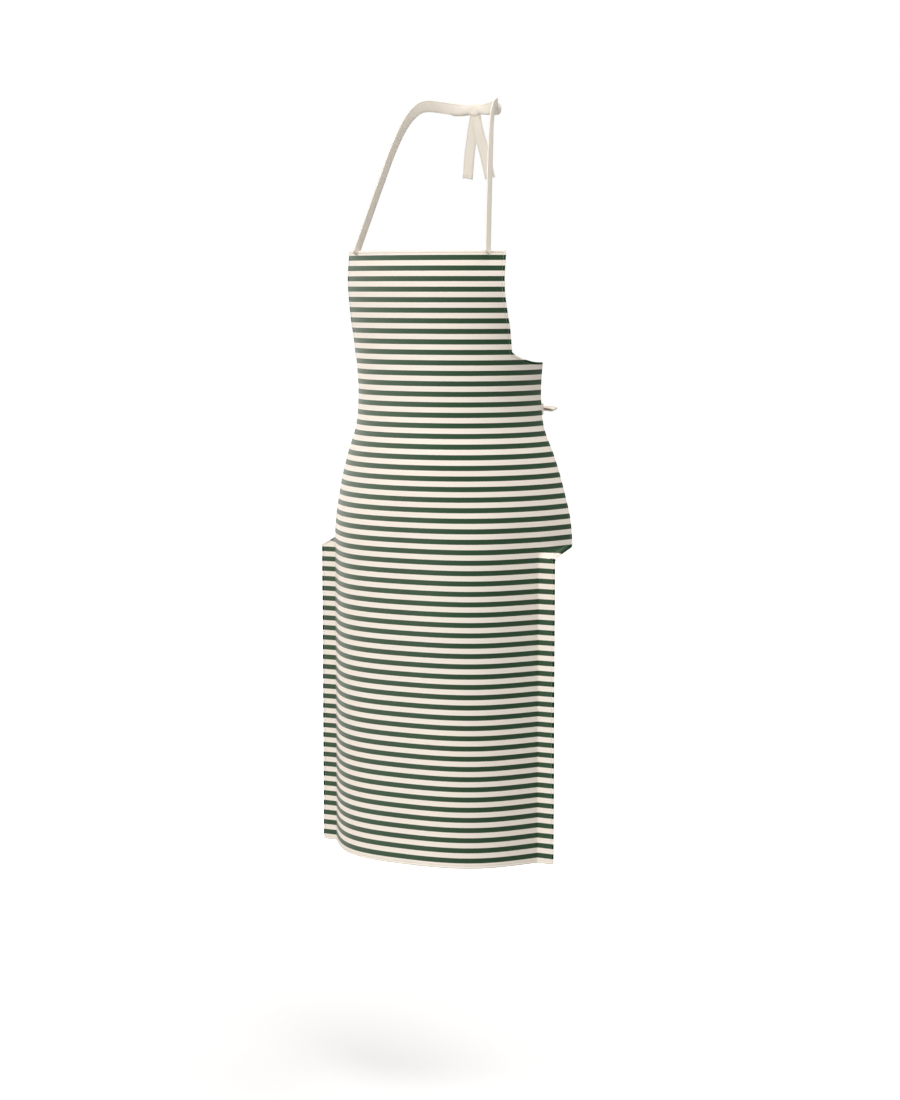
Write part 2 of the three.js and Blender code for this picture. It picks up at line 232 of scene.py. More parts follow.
# the shader's values on cream yarn, on green yarn and on the hem
FINISH = {
    "Specular IOR Level": (0.25, 0.5, 0.05),
    "Roughness": (0.62, 0.62, 1.0),
    "Sheen Weight": (0.06, 0.2, 0.02),
}

# the hem's mask: where its painted shade, painted highlight and matt finish lie
hem = add_node(tree, "ShaderNodeAttribute", attribute_name=HEM_MASK).outputs["Fac"]
dyed_and_hem_shaded = {}
for dye, (single, hem_painted_light_and_shade) in DYES_AND_PAINTED_HEM_SHADE.items():
    mix = {"Fac": hem, "Color1": linear(single), "Color2": linear(hem_painted_light_and_shade)}
    dyed_and_hem_shaded[dye] = add_node(tree, "ShaderNodeMixRGB", mix).outputs[0]
striped = {"Fac": stripe, "Color1": dyed_and_hem_shaded["cream"], "Color2": dyed_and_hem_shaded["green"]}
striped = add_node(tree, "ShaderNodeMixRGB", striped)
finish_cloth(tree, shader, striped.outputs[0], weave, yarn)
for socket, (on_cream, on_green, on_hem) in FINISH.items():
    yarns = {"Value": stripe, "To Min": on_cream, "To Max": on_green}
    yarns = add_node(tree, "ShaderNodeMapRange", yarns)
    finish = {"Value": hem, "To Min": yarns.outputs[0], "To Max": on_hem}
    finish = add_node(tree, "ShaderNodeMapRange", finish)
    tree.links.new(finish.outputs[0], shader.inputs[socket])
print(cotton.name, "has", len(tree.nodes), "nodes")

# %% [markdown]
# ## Cotton tape and thread
# The straps and ties are plain cream tape in the same weave, without stripes. The thread is cotton too;
# its colour is painted a grey green between the cloth's two colours, as painted shade of the dip that it
# pulls, so its rows show faintly on both. One material could serve all three, but each has its own gloss.

# %% Cotton tape and thread
TAPE_CREAM = "#efe6d9"
# the thread's colour: a grey green, darker than cream, as painted shade of the dip that it pulls
THREAD_TONE_WITH_PAINTED_SHADE = "#b4b7a3"
# the twist of a real thread is under a millimetre, drawn coarser so that it can show
THREAD_PLY = 3.0
PLY_SHADE = (0.9, 1.08)

# Folded cotton tape: the same weave in plain cream, almost without gloss
tape_cotton, tree, shader = new_material(
    "cream_cotton_tape", Roughness=0.7, Sheen_Weight=0.06, Sheen_Roughness=0.4, Specular_IOR_Level=0.16
)
flat, weave, yarn = weave_nodes(tree)
finish_cloth(tree, shader, linear(TAPE_CREAM), weave, yarn)

# Twisted cotton thread, painted grey green as painted shade of its dip: a faint grey-green line on the
# cream, a pale one on the green
sewing_thread, tree, shader = new_material("cotton_thread", Roughness=0.6, Sheen_Weight=0.1)
place = add_node(tree, "ShaderNodeTexCoord").outputs["Object"]
ply = {"Vector": place, "Scale": 1 / (THREAD_PLY * MM), "Detail": 1.0}
ply = add_node(tree, "ShaderNodeTexNoise", ply)
shade = {"Value": ply.outputs[0], "To Min": PLY_SHADE[0], "To Max": PLY_SHADE[1]}
shade = add_node(tree, "ShaderNodeMapRange", shade)
twisted = {"Color": linear(THREAD_TONE_WITH_PAINTED_SHADE), "Value": shade.outputs[0]}
twisted = add_node(tree, "ShaderNodeHueSaturation", twisted)
tree.links.new(twisted.outputs[0], shader.inputs["Base Color"])
print("materials", [m.name for m in (cotton, tape_cotton, sewing_thread)])

# %% [markdown]
# ## The shape that the cloth is worn in
# The worn cloth is a stack of level sections. Each is half a curve from the middle of the front to the
# side edge, with a flat stretch in front, and a short table gives its sizes at eleven heights. A drape
# could be simulated, but measured sections give this very shape, and each size in them can be changed.
# Heights are drops below the bib's top edge, in millimetres.

# %% Sections of the body
# depth of the side edge and length of the curve's handle there
SIDE_SEAM = -8.0
SIDE_HANDLE = 70.0
# drop at which the flanges start
HIP_CORNER = 401.0
# drop, half width at the side, reach of the front, its flat stretch, lean of the side in degrees
BODY = np.array([
    (0, 160, 131, 95, 90),
    (40, 165, 136, 97, 90),
    (80, 154, 135, 94, 90),
    (120, 141, 133, 90, 90),
    (160, 134, 133, 89, 90),
    (205, 132.5, 134, 86, 90),
    (240, 137, 138.5, 88, 89),
    (280, 153, 148.5, 98, 85),
    (320, 166, 154.5, 105, 82),
    (360, 175.6, 156, 118, 75),
    (HIP_CORNER, 181.5, 156, 122, 71),
], float)


def body_sizes(drop):
    """Side, front, flat and lean at any drop, on a smooth curve through the table's rows."""
    knots, values = BODY[:, 0], BODY[:, 1:]
    slopes = np.diff(values, axis=0) / np.diff(knots)[:, None]
    tangents = np.concatenate([slopes[:1], (slopes[:-1] + slopes[1:]) / 2, slopes[-1:]])
    i = np.clip(np.searchsorted(knots, drop, side="right") - 1, 0, len(knots) - 2)
    step = (knots[i + 1] - knots[i])[..., None]
    t = (drop - knots[i])[..., None] / step
    start = values[i] * (1 + 2 * t) * (1 - t) ** 2 + tangents[i] * step * t * (1 - t) ** 2
    end = values[i + 1] * t ** 2 * (3 - 2 * t) - tangents[i + 1] * step * t ** 2 * (1 - t)
    return np.moveaxis(start + end, -1, 0)


def half_section(share, front, flat, edge, lean):
    """A level section at shares of its half width, as x and depth, by its four handles."""
    angle = np.radians(lean)
    handle = edge[0] - SIDE_HANDLE * np.cos(angle), edge[1] - SIDE_HANDLE * np.sin(angle)
    a, b, c, d = (1 - share) ** 3, 3 * share * (1 - share) ** 2, 3 * share ** 2 * (1 - share), share ** 3
    return b * flat + c * handle[0] + d * edge[0], -(a + b) * front + c * handle[1] + d * edge[1]


def body_section(drop, share):
    """x and depth of the section that follows the body, held at the hips below them."""
    side, front, flat, lean = body_sizes(np.minimum(drop, HIP_CORNER))
    return np.array(half_section(share, front, flat, (side, SIDE_SEAM), lean))


print("body sections from", BODY[0, 0], "to", BODY[-1, 0], "mm, widest half", BODY[:, 1].max(), "mm")

# %% [markdown]
# ## Creases and flanges
# Below the hips the front settles into one plain section with a pressed crease down each side, and the
# cloth beyond the crease turns out into a flange. Each could be a mesh of its own, but one rule that
# blends the body's section into the skirt's keeps the cloth in one piece.

# %% Worn sections
# drops at which the armhole leaves the bib and meets the side
ARMHOLE_TOP = 138.0
ARMHOLE_SIDE = 151.0
# drops and half widths of the bib's side edge
BIB_EDGE = (0.0, 60.0, 100.0, ARMHOLE_TOP), (118.7, 118.7, 120.3, 119.3)
# drops between which the body's section settles into the skirt's
HIP_SETTLE = 330.0
HIP_SKIRT = 412.0
SKIRT_FRONT, SKIRT_FLAT, SKIRT_LEAN = 156.0, 100.0, 54.5
# the crease's x and depth
CREASE = (156.5, -69.7)
# width, drop of its top corner and how evenly the stripes follow it there
FLANGE = {1: (24.0, 412.0, 0.5), -1: (21.4, 409.0, 0.76)}
FINE_SHARES = np.linspace(0, 1, 4001)


def share_at_width(drop, width):
    """The share of the half width at which a section is so wide."""
    return np.interp(width, body_section(np.full_like(FINE_SHARES, drop), FINE_SHARES)[0], FINE_SHARES)


crease_share = share_at_width(HIP_CORNER, CREASE[0])
bib_share = share_at_width(ARMHOLE_SIDE, BIB_EDGE[1][-1])


def worn_section(drop, share, hand):
    """x and depth of the cloth's outer face on one side of the body."""
    drop, share = np.broadcast_arrays(drop, share)
    width, top, _ = FLANGE[hand]
    fall = np.clip((drop - HIP_SETTLE) / (HIP_SKIRT - HIP_SETTLE), 0, 1)
    settled = fall ** 2 * (3 - 2 * fall)
    flipped = np.clip((drop - HIP_CORNER) / (top - HIP_CORNER), 0, 1)
    inner = np.minimum(share, crease_share)
    skirt = np.array(half_section(inner / crease_share, SKIRT_FRONT, SKIRT_FLAT, CREASE, SKIRT_LEAN))
    body = body_section(drop, inner)
    at_crease = body_section(drop, np.full_like(drop, crease_share))
    flap = body_section(drop, np.maximum(share, crease_share)) - at_crease
    beyond = np.maximum(share - crease_share, 0) / (1 - crease_share)
    flange = np.array([width * beyond, np.zeros_like(beyond)])
    return body + (skirt - body) * settled + flap + (flange - flap) * flipped


print("shares of the half width: crease", round(float(crease_share), 3), "bib", round(float(bib_share), 3))

# %% [markdown]
# ## From flat cloth to worn cloth
# A maker cuts the panel flat. Its flat map runs across the cloth, by the length along a level section,
# and down it, by the drop. Unwrapping a finished mesh would only come near it, so a table of lengths
# leads from the one to the other.

# %% Flat map
LENGTH = 833.0
# rows down the cloth, closer rows where the flanges turn out, and columns across
MAP_ROWS, FLIP_ROWS, MAP_COLUMNS = 417, 45, 241
row_drops = np.unique(np.concatenate([
    np.linspace(0, LENGTH, MAP_ROWS), np.linspace(HIP_CORNER, HIP_SKIRT, FLIP_ROWS)
]))
column_shares = np.unique(np.append(np.linspace(0, 1, MAP_COLUMNS), crease_share))
reach = {}
for hand in (1, -1):
    line = worn_section(row_drops[:, None], column_shares[None, :], hand)
    steps = np.linalg.norm(np.diff(line, axis=2), axis=0)
    reach[hand] = np.concatenate([np.zeros((len(row_drops), 1)), np.cumsum(steps, axis=1)], axis=1)


def rows_of(drop, hand):
    """The table's lengths at any drops, a row for each."""
    i = np.clip(np.searchsorted(row_drops, drop, side="right") - 1, 0, len(row_drops) - 2)
    t = ((drop - row_drops[i]) / (row_drops[i + 1] - row_drops[i]))[:, None]
    return reach[hand][i] * (1 - t) + reach[hand][i + 1] * t


def across(drop, share, hand):
    """The length along the section, from the middle of the front, at any drops and shares."""
    drop, share = np.broadcast_arrays(np.asarray(drop, float), np.asarray(share, float))
    lengths = rows_of(drop.ravel(), hand)
    return np.array([np.interp(s, column_shares, row) for s, row in zip(share.ravel(), lengths)])


widest, at_hem = across([HIP_CORNER, LENGTH], [1, 1], 1)
print("flat half width at the hips", round(widest, 1), "mm, at the hem", round(at_hem, 1), "mm")

# %% [markdown]
# ## Wearing the cloth
# With that table, anything drawn on the flat cloth can be put at its place on the body. A lattice could
# bend a flat mesh, but it would stretch the cloth, and this keeps its lengths across. The origin is the
# nape, where the tied straps rest, above and behind the bib's top edge.

# %% Wear the cloth
# the nape's height above the bib's top edge, and its depth
NAPE_RISE = 197.0
NAPE_BACK = 51.0


def wear(flat):
    """Points of the flat cloth, in millimetres, at their place on the body, in millimetres."""
    made = np.zeros((len(flat), 3))
    for hand in (1, -1):
        mine = flat[:, 0] >= 0 if hand > 0 else flat[:, 0] < 0
        side, drop = np.abs(flat[mine, 0]), np.clip(flat[mine, 1], 0, LENGTH)
        lengths = rows_of(drop, hand)
        i = np.clip((lengths < side[:, None]).sum(axis=1) - 1, 0, lengths.shape[1] - 2)
        pick = np.arange(len(side))
        low, high = lengths[pick, i], lengths[pick, i + 1]
        t = np.clip((side - low) / (high - low), 0, 1)
        share = column_shares[i] * (1 - t) + column_shares[i + 1] * t
        x, depth = worn_section(drop, share, hand)
        made[mine] = np.column_stack([hand * x, depth - NAPE_BACK, -NAPE_RISE - drop])
    return made


print("middle of the hem at", wear(np.array([[0.0, LENGTH]])).round(1)[0], "mm")

# %% [markdown]
# ## The cut edge
# The outline is made of eight runs between the panel's corners: the top, then down each side the bib
# with its armhole, the waist and the flange, and the hem along the bottom. It could be drawn by hand as
# one curve, but runs that follow the worn sections keep every cut at its place on the body.

# %% Runs of the outline
# how hollow the armhole is, and the length over which the bib's edge flares into it
ARMHOLE_POWER = 2.4
ARMHOLE_EASE = 3.5
EDGE_STEP = 2.0
BIB_POINTS, CURVE_POINTS, FLANGE_POINTS = 90, 120, 30


def side_runs(hand):
    """The three runs down one side, in the order in which the outline passes them."""
    bib_drops = np.linspace(0, ARMHOLE_TOP, BIB_POINTS)
    foot_half = body_section(np.array(ARMHOLE_TOP), bib_share)[0]
    flare = np.clip(1 - (ARMHOLE_TOP - bib_drops) / ARMHOLE_EASE, 0, 1) ** 2
    bib_halves = np.interp(bib_drops, *BIB_EDGE)
    bib_halves += (foot_half - bib_halves) * flare
    bib_shares = [share_at_width(drop, half) for drop, half in zip(bib_drops, bib_halves)]
    cut = np.linspace(0, 1, CURVE_POINTS)[1:]
    hole_drops = ARMHOLE_SIDE - (ARMHOLE_SIDE - ARMHOLE_TOP) * (1 - cut) ** ARMHOLE_POWER
    hole_shares = bib_share + (1 - bib_share) * cut
    waist_drops = np.linspace(ARMHOLE_SIDE, HIP_CORNER, CURVE_POINTS)
    flange_drops = np.append(np.linspace(HIP_CORNER, FLANGE[hand][1], FLANGE_POINTS), LENGTH)
    runs = []
    for drops, shares in (
        (np.append(bib_drops, hole_drops), np.append(bib_shares, hole_shares)),
        (waist_drops, np.ones_like(waist_drops)),
        (flange_drops, np.ones_like(flange_drops)),
    ):
        runs.append(np.column_stack([hand * across(drops, shares, hand), drops]))
    return runs if hand > 0 else [run[::-1] for run in reversed(runs)]


def lengths_along(points):
    """The distance from a line's start to each of its points."""
    return np.concatenate([[0], np.cumsum(np.linalg.norm(np.diff(points, axis=0), axis=1))])


def even_run(points):
    """A line's points, spaced evenly."""
    lengths = lengths_along(points)
    places = np.linspace(0, lengths[-1], max(2, round(lengths[-1] / EDGE_STEP) + 1))
    return np.column_stack([np.interp(places, lengths, points[:, i]) for i in range(points.shape[1])])


left_runs, right_runs = side_runs(1), side_runs(-1)
top_run = np.array([right_runs[-1][-1], left_runs[0][0]])
bottom_run = np.array([left_runs[-1][-1], right_runs[0][0]])
runs = [even_run(run) for run in (top_run, *left_runs, bottom_run, *right_runs)]
print("runs of", [round(lengths_along(run)[-1]) for run in runs], "mm")

# %% [markdown]
# ## The outline, set in by any distance
# A hem keeps an even distance from the cut edge, so the outline has to be set in again and again with
# the same points. An inset in edit mode would add points of its own. Here each run moves along its
# normals, and its ends slide along to meet the next run at a slightly rounded corner.

# %% Outline of the flat cloth
# length over which a run's end slides, points that round a corner, and neighbours that even a normal
CORNER_REACH = 25.0
CORNER_POINTS = 3
NORMAL_SPREAD = 2


def unit(vectors):
    """The same directions with a length of one."""
    return vectors / np.linalg.norm(vectors, axis=-1, keepdims=True)


def run_normals(run):
    """Directions from a run into the cloth, each averaged with its neighbours."""
    along = np.gradient(run, axis=0)
    inward = unit(np.column_stack([-along[:, 1], along[:, 0]]))
    padded = np.pad(inward, ((NORMAL_SPREAD, NORMAL_SPREAD), (0, 0)), mode="edge")
    return unit(sum(padded[i:i + len(run)] for i in range(2 * NORMAL_SPREAD + 1)))


normals = [run_normals(run) for run in runs]


def inset_loop(distance):
    """The outline set in by a distance, as one closed loop with the same points at every distance."""
    loop, corners = [], []
    for i, (run, inward) in enumerate(zip(runs, normals)):
        before, after = normals[i - 1][-1], normals[(i + 1) % len(runs)][0]
        start_mitre = (before + inward[0]) / (1 + before @ inward[0])
        end_mitre = (inward[-1] + after) / (1 + inward[-1] @ after)
        walked = lengths_along(run)
        near_start = np.clip(1 - walked / CORNER_REACH, 0, 1)[:, None]
        near_end = np.clip(1 - (walked[-1] - walked) / CORNER_REACH, 0, 1)[:, None]
        moved = run + distance * inward
        moved += distance * ((start_mitre - inward[0]) * near_start + (end_mitre - inward[-1]) * near_end)
        corners.append(len(loop))
        loop.extend(moved[:-1])
    loop = np.array(loop)
    spots = range(-CORNER_POINTS, CORNER_POINTS + 1)
    near = np.unique([(corner + k) % len(loop) for corner in corners for k in spots])
    loop[near] = (loop[near - 1] + 2 * loop[near] + loop[(near + 1) % len(loop)]) / 4
    return loop


outline = inset_loop(0)

# %% [markdown]
# ## The hem
# A narrow hem is turned twice to the inside and sewn close to its fold. Across the edge the outer face
# first rolls over, swells a little, dips where the stitches pull it down and runs out flat, and the
# inner face steps down from three layers to one. Solidify could give the wall, but it can't turn a hem,
# so a row of loops set in from the outline carries that profile.

# %% Hem profile
HEM_WIDTH = 5.0
# distance in from the edge, rise of the outer face, depth of the inner face
HEM_PROFILE = np.array([
    (0.0, -1.1, 1.1),
    (0.3, -0.3, 1.9),
    (0.9, 0.2, 2.4),
    (1.7, 0.4, 2.5),
    (2.5, 0.3, 2.45),
    (3.1, 0.0, 2.25),
    (3.6, -0.25, 2.0),
    (4.1, -0.1, 2.2),
    (4.6, 0.0, 2.4),
    (HEM_WIDTH, 0.04, 2.3),
    (5.15, 0.04, 1.25),
    (6.5, 0.0, 1.2),
    (9.0, 0.0, 1.2),
])
hem_loops = [inset_loop(distance) for distance in HEM_PROFILE[:, 0]]
last_loop = hem_loops[-1]
count = len(outline)
print("hem of", len(hem_loops), "loops of", count, "points")

# %% [markdown]
# ## Filling the cloth
# Inside the last loop the cloth is filled with even triangles, and a pressed crease gets close rows of
# its own, so that it bends sharply. A grid of squares could be trimmed to the edge, but it would leave
# slivers there. Points are kept a little away from the edge and the creases, and a Delaunay filling
# joins them all.

# %% Points of the filling
FILL_STEP = 5.0
FILL_CLEAR = 3.0
# half the width over which a crease bends, and the step of the points down it
CREASE_ROUND = 1.2
CREASE_STEP = 4.0
# points that are compared at a time, to save memory
BATCH = 400


def inside(points, loop):
    """Which points lie inside a closed loop, by the edges that a line across to the right meets."""
    ends = np.roll(loop, -1, axis=0)
    crossed = np.zeros(len(points), int)
    for (x0, y0), (x1, y1) in zip(loop, ends):
        spans = (y0 > points[:, 1]) != (y1 > points[:, 1])
        with np.errstate(divide="ignore", invalid="ignore"):
            meets = x0 + (points[:, 1] - y0) * (x1 - x0) / (y1 - y0)
        crossed += spans & (points[:, 0] < meets)
    return crossed % 2 == 1


def far_from(points, others, distance):
    """Which points are further than a distance from all the others."""
    keep = np.ones(len(points), bool)
    for start in range(0, len(others), BATCH):
        gaps = points[:, None, :] - others[None, start:start + BATCH, :]
        keep &= (gaps ** 2).sum(axis=2).min(axis=1) > distance ** 2
    return keep


crease_drops = np.arange(HIP_SETTLE, LENGTH - HEM_PROFILE[-1, 0] - 1, CREASE_STEP)
crease_lines = []
for hand in (1, -1):
    middle = across(crease_drops, np.full_like(crease_drops, crease_share), hand)
    for beside in (-CREASE_ROUND, 0, CREASE_ROUND):
        crease_lines.append(np.column_stack([hand * (middle + beside), crease_drops]))
columns, rows = np.arange(-widest, widest, FILL_STEP), np.arange(0, LENGTH, FILL_STEP)
grid = np.stack(np.meshgrid(columns, rows), axis=-1).reshape(-1, 2)
grid = grid[inside(grid, last_loop)]
grid = grid[far_from(grid, last_loop, FILL_CLEAR)]
grid = grid[far_from(grid, np.concatenate(crease_lines), FILL_CLEAR)]
print("grid of", len(grid), "points beside", len(crease_lines), "crease rows")

# %% Triangles of the filling
ONLY_INSIDE = 1
MERGE_GAP = 1e-5

points = [last_loop, *crease_lines, grid]
starts = np.cumsum([0] + [len(part) for part in points])
creased = []
for start, line in zip(starts[1:], crease_lines):
    creased += [(start + k, start + k + 1) for k in range(len(line) - 1)]
corners = [Vector(p) for p in np.concatenate(points)]
filled = delaunay_2d_cdt(corners, creased, [list(range(count))], ONLY_INSIDE, MERGE_GAP)
fill_points = np.array([tuple(p) for p in filled[0]])
fill_of = {origin: i for i, origins in enumerate(filled[3]) for origin in origins}
print("filling of", len(fill_points), "points and", len(filled[2]), "triangles")

# %% [markdown]
# ## Skins with a flat map
# Each piece of cloth below is a closed skin of points, and each point knows its place on the cut cloth.
# Primitives and an unwrap could stand in for that, but the weave and the stripes need the true lengths.
# One function makes the mesh and its map from lists of points, and another finds which way a surface
# looks.

# %% Helpers for meshes
def ring_faces(upper, lower, size):
    """The quads between two rings of points."""
    return [(upper + i, upper + (i + 1) % size, lower + (i + 1) % size, lower + i) for i in range(size)]


def make_mesh(name, points, faces, flat, material, caps=0):
    """A mesh object from points and a flat map in millimetres, with its last faces as flat end caps."""
    mesh = bpy.data.meshes.new(name)
    mesh.from_pydata([tuple(p) for p in np.asarray(points) * MM], [], [tuple(map(int, f)) for f in faces])
    corners = np.zeros(len(mesh.loops), int)
    mesh.loops.foreach_get("vertex_index", corners)
    layer = mesh.uv_layers.new(name=CLOTH_MAP)
    layer.data.foreach_set("uv", (np.asarray(flat)[corners] * MM).astype(np.float32).ravel())
    mesh.polygons.foreach_set("use_smooth", np.arange(len(faces)) < len(faces) - caps)
    mesh.materials.append(material)
    made = bpy.data.objects.new(name, mesh)
    scene.collection.objects.link(made)
    return made


def point_normals(points, faces):
    """Which way a surface looks at its points, from the faces round each."""
    total = np.zeros_like(points)
    for corner_count in {len(f) for f in faces}:
        some = np.array([f for f in faces if len(f) == corner_count])
        a, b, c = points[some[:, 0]], points[some[:, 1]], points[some[:, -1]]
        facing = np.cross(b - a, c - a)
        for k in range(corner_count):
            np.add.at(total, some[:, k], facing)
    return unit(total)


print("each skin carries the map", CLOTH_MAP)

# %% [markdown]
# ## The worn surface
# The loops of the hem and the filling become one flat sheet, and wearing it gives the surface that both
# faces of the cloth follow. A few long, shallow waves, no deeper than half a millimetre, keep the free
# skirt from looking like sheet metal. A cloth simulation could fold it more, but this skirt hangs nearly
# smooth.

# %% Worn surface
WAVE_DEPTH = 0.45
# millimetres to a radian of each wave, and of the short one down the skirt
LONG_WAVE, SHORT_WAVE, WAVE_DRIFT = 29.0, 17.0, 160.0
WAVE_START = 0.4
SHORT_SHARE = 0.6

ring_total = (len(hem_loops) - 1) * count
flat = np.concatenate([*hem_loops[:-1], fill_points])
faces = []
for k in range(len(hem_loops) - 2):
    faces += ring_faces(k * count, (k + 1) * count, count)
for i in range(count):
    a, b = ring_total - count + i, ring_total - count + (i + 1) % count
    faces.append((a, b, ring_total + fill_of[(i + 1) % count], ring_total + fill_of[i]))
faces += [tuple(ring_total + v for v in face) for face in filled[2]]
surface = wear(flat)
outward = point_normals(surface, faces)
middle_front = np.argmin(np.abs(flat[:, 0]) + np.abs(flat[:, 1] - LENGTH / 2))
if outward[middle_front, 1] > 0:
    outward = -outward
    faces = [face[::-1] for face in faces]
free = np.clip((flat[:, 1] - HIP_CORNER) / (LENGTH - HIP_CORNER), 0, 1)
waves = np.sin(flat[:, 0] / LONG_WAVE + WAVE_START)
waves += SHORT_SHARE * np.sin(flat[:, 0] / SHORT_WAVE + flat[:, 1] / WAVE_DRIFT)
surface += outward * (WAVE_DEPTH * free * waves / (1 + SHORT_SHARE))[:, None]
print("surface of", len(surface), "points and", len(faces), "faces")

# %% [markdown]
# ## Outer and inner face
# The hem's profile moves the outer face out and the inner face in, and both share the rim, so the panel
# is one closed skin. At the top of each flange the cloth is pulled askew, so the stripes there lag
# behind. The hem's mask, which carries its painted shade and highlight and its matt finish, follows the
# distance from the edge as it is worn, so it is as wide on the turned flange as elsewhere.

# %% Panel
# the hem's painted shade and highlight, and its matt finish, end between these distances from the edge
HEM_SHADE = (3.0, 4.2)

profile_row = np.full(len(flat), len(hem_loops) - 1)
profile_row[:ring_total] = np.repeat(np.arange(len(hem_loops) - 1), count)
outer = surface + outward * HEM_PROFILE[profile_row, 1][:, None]
inner = surface - outward * HEM_PROFILE[profile_row, 2][:, None]
inner_index = np.concatenate([np.arange(count), np.arange(len(outer), len(outer) + len(inner) - count)])
panel_points = np.concatenate([outer, inner[count:]])
panel_faces = faces + [tuple(inner_index[list(face[::-1])]) for face in faces]
for hand, (_, top, even) in FLANGE.items():
    turned = np.clip((flat[:, 1] - HIP_CORNER) / (top - HIP_CORNER), 0, 1)
    crease = across(flat[:, 1], np.full(len(flat), crease_share), hand)
    edge = across(flat[:, 1], np.ones(len(flat)), hand)
    beyond = np.clip((hand * flat[:, 0] - crease) / (edge - crease), 0, 1)
    lag = turned - 1 + (1 - turned) ** even
    flat[:, 1] -= beyond * lag * (top - HIP_CORNER)
panel_flat = np.concatenate([flat, flat[count:]])
panel = make_mesh("striped_panel", panel_points, panel_faces, panel_flat, cotton)

worn_depth = np.full(len(surface), HEM_WIDTH)
edge_points = np.tile(surface[:count], (len(hem_loops) - 1, 1))
worn_depth[:ring_total] = np.linalg.norm(surface[:ring_total] - edge_points, axis=1)
# the mask of the hem's painted shade and highlight and its matt finish
depth = np.clip((HEM_SHADE[1] - worn_depth) / (HEM_SHADE[1] - HEM_SHADE[0]), 0, 1)
mask = panel.data.attributes.new(HEM_MASK, "FLOAT", "POINT")
mask.data.foreach_set("value", np.concatenate([depth, depth[count:]]).astype(np.float32))
print("panel", len(panel_points), "points", len(panel_faces), "faces")

# %% [markdown]
# ## Tapes
# Straps, ties and bows are one kind of tape: a strip of cream cotton folded to 16 mm and sewn along both
# edges, so that it is a little thinner where the stitches run. Each follows a curve through a few
# points, and a facing direction at each point says which way the flat side looks. A curve object could
# carry it, but its twist is hard to hold, so the frames along the path are worked out here.

# %% Tape section and path
TAPE_WIDTH = 16.0
TAPE_STEP = 2.2
PATH_STEPS = 60
LEAST_GAP = 1e-6
# across, half thickness
TAPE_SECTION = np.array([
    (8.0, 0.0), (7.85, 0.5), (7.5, 0.8), (7.0, 0.97), (6.3, 0.76), (5.6, 0.95), (3.0, 1.0), (0.0, 0.98),
    (-3.0, 1.0), (-5.6, 0.95), (-6.3, 0.76), (-7.0, 0.97), (-7.5, 0.8), (-7.85, 0.5), (-8.0, 0.0),
])


def smooth_line(points, count):
    """A centripetal Catmull-Rom curve through points, at even shares of its spans."""
    points = np.asarray(points, float)
    ends = np.concatenate([[2 * points[0] - points[1]], points, [2 * points[-1] - points[-2]]])
    places = np.linspace(0, len(points) - 1, count)
    span = np.minimum(places.astype(int), len(points) - 2)
    t = (places - span)[:, None]
    p0, p1, p2, p3 = (ends[span + k] for k in range(4))
    gaps = [np.maximum(np.sqrt(np.linalg.norm(b - a, axis=1)), LEAST_GAP)[:, None]
            for a, b in ((p0, p1), (p1, p2), (p2, p3))]
    leave = ((p1 - p0) / gaps[0] - (p2 - p0) / (gaps[0] + gaps[1]) + (p2 - p1) / gaps[1]) * gaps[1]
    arrive = ((p2 - p1) / gaps[1] - (p3 - p1) / (gaps[1] + gaps[2]) + (p3 - p2) / gaps[2]) * gaps[1]
    bend = -3 * p1 + 3 * p2 - 2 * leave - arrive
    return p1 + leave * t + bend * t ** 2 + (2 * p1 - 2 * p2 + leave + arrive) * t ** 3


def tape_frames(path, facing):
    """Evenly spaced centres along a tape, with its directions out of the face and across."""
    fine = smooth_line(np.column_stack([path, facing]), PATH_STEPS * len(path))
    lengths = lengths_along(fine[:, :3])
    places = np.linspace(0, lengths[-1], round(lengths[-1] / TAPE_STEP) + 1)
    line = np.column_stack([np.interp(places, lengths, fine[:, i]) for i in range(6)])
    along = unit(np.gradient(line[:, :3], axis=0))
    face = unit(line[:, 3:] - along * np.sum(line[:, 3:] * along, axis=1)[:, None])
    return {"centre": line[:, :3], "face": face, "side": np.cross(along, face), "walked": places}


print("tape section of", len(TAPE_SECTION), "points a face")

# %% [markdown]
# ## Laying a tape
# Where a tape goes into a knot it bunches up: it gets narrower and cups, and at a loop's tip it bulges
# outwards. Curve to Mesh sweeps one section all along, so the rings are made here, each with its own
# width and cup. A tape is kept with its length, for the stitches.

# %% Lay a tape
# length over which a tape bunches up, how much narrower it gets and how deep it cups
GATHER_REACH = 14.0
GATHER_NARROW = 0.28
CUP_DEPTH = 1.6
TIP_REACH = 6.0
tapes = {}


def tape_point(tape, side, out):
    """Points beside a tape's middle line: side across it and out of its face, both in millimetres."""
    narrow = tape["narrow"][:, None]
    cup = tape["cup"][:, None] * (side / (TAPE_WIDTH / 2)) ** 2
    return tape["centre"] + tape["side"] * side * narrow + tape["face"] * (out + cup)


